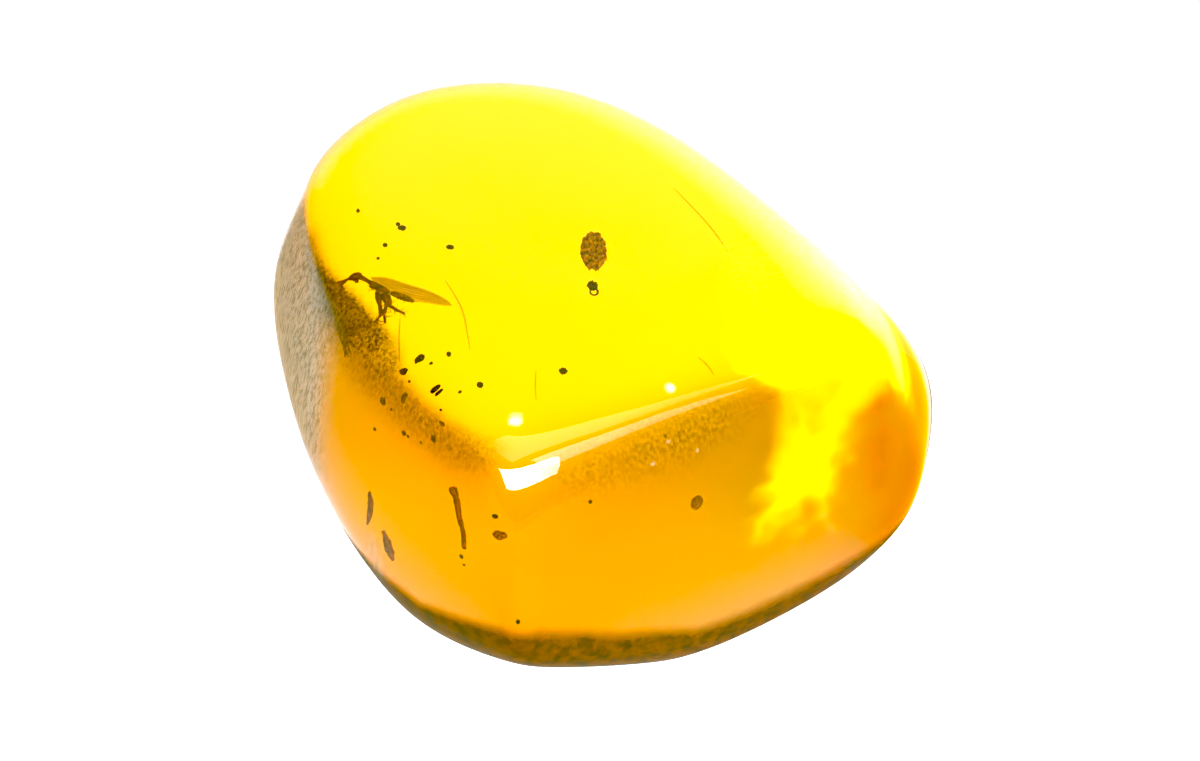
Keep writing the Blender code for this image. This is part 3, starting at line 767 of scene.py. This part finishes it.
def make_wings(membrane):
    """Two folded wings of thin film, cambered, with raised veins that fan out from the root."""
    bm = bmesh.new()
    vein = bm.verts.layers.float.new("vein")
    for side in (1, -1):
        front = smooth_route([(x, y, 0) for x, y in WING_FRONT_EDGE], 10)
        hind = smooth_route([(x, y, 0) for x, y in WING_HIND_EDGE], 10)
        grid = bmesh.ops.create_grid(bm, x_segments=len(front) - 1, y_segments=24, size=1)["verts"]
        for vert in grid:
            across = (vert.co.y + 1) / 2
            column = round((vert.co.x + 1) / 2 * (len(front) - 1))
            spot = front[column].lerp(hind[column], 1 - across)
            along = column / (len(front) - 1)
            near = min(abs(1 - across - line * (0.55 + 0.45 * along)) for line in WING_VEINS)
            edge = min(across, 1 - across)
            vert[vein] = max(0.0, 1 - near / VEIN_SHARE, 1 - edge / RIM_SHARE)
            lift = WING_SPREAD + WING_CAMBER * math.sin(math.pi / 2 * min(max(spot.x / 0.9, 0), 1))
            ripple = VEIN_HEIGHT * vert[vein] + 0.02 * math.sin(9 * across)
            vert.co = (spot.x, spot.y, (lift + ripple) * side)
        faces = list({face for vert in grid for face in vert.link_faces})
        bmesh.ops.solidify(bm, geom=faces, thickness=WING_THICKNESS)
    bmesh.ops.transform(bm, matrix=on_flow_surface(*INSECT_PLACE), verts=bm.verts)
    return finish_piece("insect_wings", bm, membrane, "chitin", "insect")


# The debris


def make_pellet(frass):
    """The mottled dropping: a lumpy oval of chewed plant crumbs."""
    bm = bmesh.new()
    add_ellipsoid(bm, (0, 0, 0), PELLET_HALF_SIZE, fineness=6, lumps=0.16, grit=3.5, seed=2.3)
    bmesh.ops.transform(bm, matrix=on_flow_surface(*PELLET_PLACE), verts=bm.verts)
    return finish_piece("pellet_of_frass", bm, frass, "frass", "frass_pellet")


def make_crumb(soot):
    """The black crumb with a curled shred on its lower side."""
    bm = bmesh.new()
    size = (CRUMB_RADIUS, CRUMB_RADIUS * 1.15, CRUMB_RADIUS * 0.9)
    add_ellipsoid(bm, (0, 0, 0), size, fineness=5, lumps=0.35, grit=2.2, seed=4.4)
    curl = []
    for step in range(25):
        angle = math.radians(80) - math.radians(290) * step / 24
        curl.append((0.06 + CURL_RADIUS * math.cos(angle), -0.28 + CURL_RADIUS * math.sin(angle), 0.02))
    add_tube(bm, curl, [0.048 * (1 - 0.35 * i / 24) for i in range(25)], flatness=0.8)
    bmesh.ops.transform(bm, matrix=on_flow_surface(*CRUMB_PLACE), verts=bm.verts)
    return finish_piece("crumb_and_curl", bm, soot, "soot", "curled_crumb")


def make_twig(bark):
    """The thin crooked twig with a thicker, broken upper end and shallow bark furrows."""
    bm = bmesh.new()
    route = smooth_route([on_flow_surface(x, y).translation / MM for x, y in TWIG_ROUTE], 16)
    radii = []
    for i in range(len(route)):
        taper = 1.0 - 0.3 * i / len(route) + 0.45 * math.exp(-i / 5)
        knots = 1 + 0.22 * noise.noise(Vector((0.22 * i, 0.3, 1.7)))
        radii.append(TWIG_RADIUS * taper * knots)
    add_tube(bm, route, radii, sides=24)
    for vert in bm.verts:
        furrow = noise.fractal(Vector((vert.co.x * 14, vert.co.y * 4, vert.co.z * 14)), 0.8, 2.0, 3)
        vert.co.z += 0.02 * furrow
        vert.co.x += 0.02 * furrow
    bmesh.ops.scale(bm, verts=bm.verts, vec=(MM, MM, MM))
    return finish_piece("broken_twig", bm, bark, "bark", "twig_fragment")


def make_seed(seed_coat):
    """The oval reddish seed."""
    place, half_size = SEED_GRAIN
    bm = bmesh.new()
    add_ellipsoid(bm, (0, 0, 0), half_size, fineness=5, lumps=0.14, seed=place[0])
    bmesh.ops.transform(bm, matrix=on_flow_surface(*place), verts=bm.verts)
    return finish_piece("seed", bm, seed_coat, "seed", "seed_grain")


def make_dust(soot):
    """The coarse black grains, and the finer specks around them."""
    coarse = bmesh.new()
    for place, half_size in COARSE_DUST.values():
        grain = add_ellipsoid(coarse, (0, 0, 0), half_size, fineness=4, lumps=0.25, seed=place[1])
        bmesh.ops.transform(coarse, matrix=on_flow_surface(*place), verts=grain)
    finish_piece("coarse_dust", coarse, soot, "soot", *COARSE_DUST)
    fine = bmesh.new()
    dice = random.Random(11)
    for x, y, radius in FINE_DUST:
        size = [radius * dice.uniform(0.7, 1.2) for _ in range(3)]
        speck = add_ellipsoid(fine, (0, 0, 0), size, fineness=3, lumps=0.3, seed=x + y)
        bmesh.ops.transform(fine, matrix=on_flow_surface(x, y, dice.uniform(-0.1, 0.1)), verts=speck)
    for x, y, z, radius in SHALLOW_DUST:
        size = [radius * dice.uniform(0.8, 1.1) for _ in range(3)]
        speck = add_ellipsoid(fine, (x, y, z), size, fineness=4, lumps=0.25, seed=x - y)
        bmesh.ops.scale(fine, verts=speck, vec=(MM, MM, MM))
    finish_piece("fine_dust", fine, soot, "soot")


def make_bark_dust(bark):
    """The small crumb of bark beside the twig, and the streaks of bark dust at the left."""
    bm = bmesh.new()
    x, y, z, radius = BARK_CRUMB
    add_ellipsoid(bm, (x, y, z), (radius, radius * 0.85, radius * 0.8), fineness=5, lumps=0.3, grit=2.5)
    for streak in DARK_STREAKS:
        route = smooth_route([point[:3] for point in streak], 8)
        stops = np.linspace(0, len(streak) - 1, len(route))
        radii = np.interp(stops, range(len(streak)), [point[3] for point in streak])
        for vert in add_tube(bm, route, list(radii), sides=20):
            vert.co += Vector((0.06, 0.06, 0.06)) * noise.fractal(vert.co * 6, 0.8, 2.0, 3)
    bmesh.ops.scale(bm, verts=bm.verts, vec=(MM, MM, MM))
    return finish_piece("bark_dust", bm, bark, "bark")


def make_flow_lines(seam):
    """Faint curved seams of the resin flows, and the fine cracks in the corners of the stone."""
    bm = bmesh.new()
    for radius, points in FLOW_LINES:
        route = smooth_route([Vector(point) * MM for point in points], 8)
        ends = [math.sin(math.pi * (i + 0.5) / len(route)) ** 0.4 for i in range(len(route))]
        add_tube(bm, route, [radius * MM * end for end in ends], sides=6)
    return finish_piece("resin_seams", bm, seam, "amber")


# The studio


def frosted_table():
    """Frosted acrylic that glows white, with a painted pool of light strongest right under the stone and a
    painted hot spot.
    """
    material, tree, shader = new_material("frosted_acrylic", 0.6)
    shader.inputs["Base Color"].default_value = rgba("#7c7c7c")
    shader.inputs["Emission Color"].default_value = rgba("#ffffff")
    place = add_node(tree, "TexCoord")
    away = add_node(tree, "VectorMath", {0: place.outputs["Object"], 1: GLOW_CENTRE}, operation="DISTANCE")
    glow = add_node(tree, "MapRange", {
        "Value": away.outputs["Value"], "From Min": GLOW_REACH[0], "From Max": GLOW_REACH[1],
        "To Min": TABLE_GLOW[0], "To Max": TABLE_GLOW[1],
    }, interpolation_type="SMOOTHSTEP")
    aside = add_node(tree, "VectorMath", {0: place.outputs["Object"], 1: LIGHT_POOL_PLACE}, operation="SUBTRACT")
    share = add_node(tree, "VectorMath", {0: aside.outputs[0], 1: SPOT_HALF_SIZE}, operation="DIVIDE")
    ragged = add_node(tree, "TexNoise", {
        "Vector": place.outputs["Object"], "Scale": 1 / RAGGED_GRAIN, "Detail": 4.0,
    })
    shift = add_node(tree, "VectorMath", {0: ragged.outputs["Color"], 1: (-0.5, -0.5, -0.5)})
    edge = add_node(tree, "VectorMath", {
        0: shift.outputs[0], 1: (SPOT_RAGGEDNESS, SPOT_RAGGEDNESS, 0), 2: share.outputs[0],
    }, operation="MULTIPLY_ADD")
    axes = add_node(tree, "VectorMath", {0: edge.outputs[0]}, operation="ABSOLUTE")
    parts = add_node(tree, "SeparateXYZ", {"Vector": axes.outputs[0]})
    within = add_node(tree, "Math", {0: parts.outputs["X"], 1: parts.outputs["Y"]}, operation="MAXIMUM")
    spot = add_node(tree, "MapRange", {
        "Value": within.outputs["Value"], "From Min": SPOT_EDGE[0], "From Max": SPOT_EDGE[1],
        "To Min": SPOT_GLOW, "To Max": 0.0,
    }, interpolation_type="SMOOTHSTEP")
    total = add_node(tree, "Math", {0: glow.outputs[0], 1: spot.outputs[0]})
    tree.links.new(total.outputs[0], shader.inputs["Emission Strength"])
    return material


def make_floor():
    """The plain pale light table that the stone lies on."""
    bm = bmesh.new()
    bmesh.ops.create_grid(bm, x_segments=1, y_segments=1, size=FLOOR_HALF_WIDTH)
    bmesh.ops.translate(bm, verts=bm.verts, vec=(0, 0, -FLOOR_DROP))
    mesh = bpy.data.meshes.new("floor")
    bm.to_mesh(mesh)
    bm.free()
    floor = bpy.data.objects.new("floor", mesh)
    bpy.context.collection.objects.link(floor)
    mesh.materials.append(frosted_table())


def direction(azimuth, elevation):
    """A unit vector towards an azimuth and elevation in degrees, azimuth 0 being the front."""
    return Vector(face_normal(azimuth, elevation))


def make_lamps():
    """Area lamps that face the stone, each with a given radiance."""
    for name, (azimuth, elevation, distance, width, height, radiance) in LAMPS.items():
        lamp = bpy.data.lights.new(name, "AREA")
        lamp.shape = "RECTANGLE"
        lamp.size = width * MM
        lamp.size_y = height * MM
        lamp.energy = radiance * math.pi * lamp.size * lamp.size_y
        obj = bpy.data.objects.new(name, lamp)
        bpy.context.collection.objects.link(obj)
        way = direction(azimuth, elevation)
        obj.location = LAMP_AIM + way * distance * MM
        obj.rotation_euler = way.to_track_quat("Z", "Y").to_euler()


def make_room():
    """A dim pale room with a soft bright part behind the stone."""
    world = bpy.data.worlds.new("room")
    bpy.context.scene.world = world
    world.use_nodes = True
    tree = world.node_tree
    glow = tree.nodes["Background"]
    place = add_node(tree, "TexCoord")
    total = None
    for azimuth, elevation, sharpness, strength in SKY_LOBES:
        way = direction(azimuth, elevation)
        facing = add_node(tree, "VectorMath", {
            0: place.outputs["Generated"], 1: way,
        }, operation="DOT_PRODUCT")
        front = add_node(tree, "Math", {0: facing.outputs["Value"], 1: 0.0}, operation="MAXIMUM")
        lobe = add_node(tree, "Math", {0: front.outputs[0], 1: float(sharpness)}, operation="POWER")
        base = ROOM_GLOW if total is None else total.outputs[0]
        total = add_node(tree, "Math", {0: lobe.outputs[0], 1: strength, 2: base}, operation="MULTIPLY_ADD")
    tree.links.new(total.outputs[0], glow.inputs["Strength"])
    glow.inputs["Color"].default_value = rgba("#ffffff")


def make_camera():
    """The camera that looks down on the stone's front."""
    camera = bpy.data.cameras.new("camera")
    camera.sensor_width = SENSOR_WIDTH
    camera.lens = PIXELS_PER_MM * (VIEW_DISTANCE / MM) / PICTURE_WIDTH * SENSOR_WIDTH
    camera.clip_start = NEAREST_SEEN
    obj = bpy.data.objects.new("camera", camera)
    bpy.context.collection.objects.link(obj)
    back = direction(0, math.degrees(VIEW_ELEVATION))
    obj.location = VIEW_CENTRE + back * VIEW_DISTANCE
    obj.rotation_euler = back.to_track_quat("Z", "Y").to_euler()
    bpy.context.scene.camera = obj


def set_exposure():
    """Enough bounces for light inside the stone, and a print with clean, saturated darks."""
    scene = bpy.context.scene
    scene.cycles.max_bounces = CLEAR_BOUNCES
    scene.cycles.transmission_bounces = CLEAR_BOUNCES
    scene.cycles.glossy_bounces = CLEAR_BOUNCES
    scene.cycles.diffuse_bounces = OPEN_BOUNCES
    scene.cycles.transparent_max_bounces = FILM_CROSSINGS
    scene.view_settings.view_transform = "Standard"
    scene.view_settings.use_curve_mapping = True
    scene.view_settings.curve_mapping.black_level = BLACK_LEVEL
    scene.view_settings.curve_mapping.update()


make_camera()
make_stone(polished_amber())
films = (
    # The oxidised crust of the raw lump, with painted shade: dull brown flecks that hide and darken the
    # clear amber below them.
    ("weathered_skin_and_painted_shade", crust_and_shade_cover, film_material(
        "weathered_skin_and_painted_shade", "#4a2a06", "#96680e", 0.65, (0.12, 0.12, 0.35), 0.6)),
    # Painted shade round the lower edge: a nearly black-brown line where the stone rests on the table.
    ("painted_contact_shade", contact_shade_cover, film_material(
        "painted_contact_shade_brown", "#220c02", "#4a2404", 0.88, (0.5, 0.5, 0.5), 0.6)),
    ("honey_stain", stain_cover, stain_material()),
    # Saw marks full of pale dust, with a painted sheen: a cool beige haze in long slanting strokes.
    ("saw_dust_and_painted_sheen", haze_and_sheen_cover, film_material(
        "saw_dust_and_sheen_beige", "#8a8478", "#e8e0d4", 0.6, (0.12, 0.12, 1.6), 0.8)),
    # A painted highlight on the back upper edge: a milky lemon sheen.
    ("painted_edge_sheen", painted_sheen_cover, film_material(
        "painted_sheen_lemon", "#fff6d0", "#ffffff", 0.8, (0.3, 0.3, 0.9), 0.8)),
    # Painted glints: white dots of painted highlight.
    ("painted_glints", painted_glint_cover, film_material(
        "painted_glint_white", "#ffffff", "#ffffff", 1.0, (0.1, 0.1, 0.1), 0.9)),
)
for layer, (name, cover_of, material) in enumerate(films, start=1):
    make_film(name, cover_of, layer * FILM_LIFT, material)
make_flow_lines(flow_line_material())
make_insect(fossil_chitin())
make_wings(wing_membrane())
# Charred dust: matt black with a brown cast.
soot = grit_material("soot", "#0c0703", "#2e1c0a", 0.08, 0.85, 0.01)
# Chewed leaf and wood: dark brown speckled with amber yellow.
make_pellet(grit_material("chewed_frass", "#2a1804", "#e0a030", 0.16, 0.8, 0.04))
make_crumb(soot)
# Resin-soaked bark: reddish brown, rough.
bark = grit_material("old_bark", "#4a1c04", "#b0561a", 0.10, 0.8, 0.02)
make_twig(bark)
make_bark_dust(bark)
# A seed's skin: reddish brown, a little smoother than the bark.
make_seed(grit_material("seed_coat", "#5a2204", "#a8601c", 0.1, 0.7, 0.01))
make_dust(soot)
make_floor()
make_lamps()
make_room()
set_exposure()
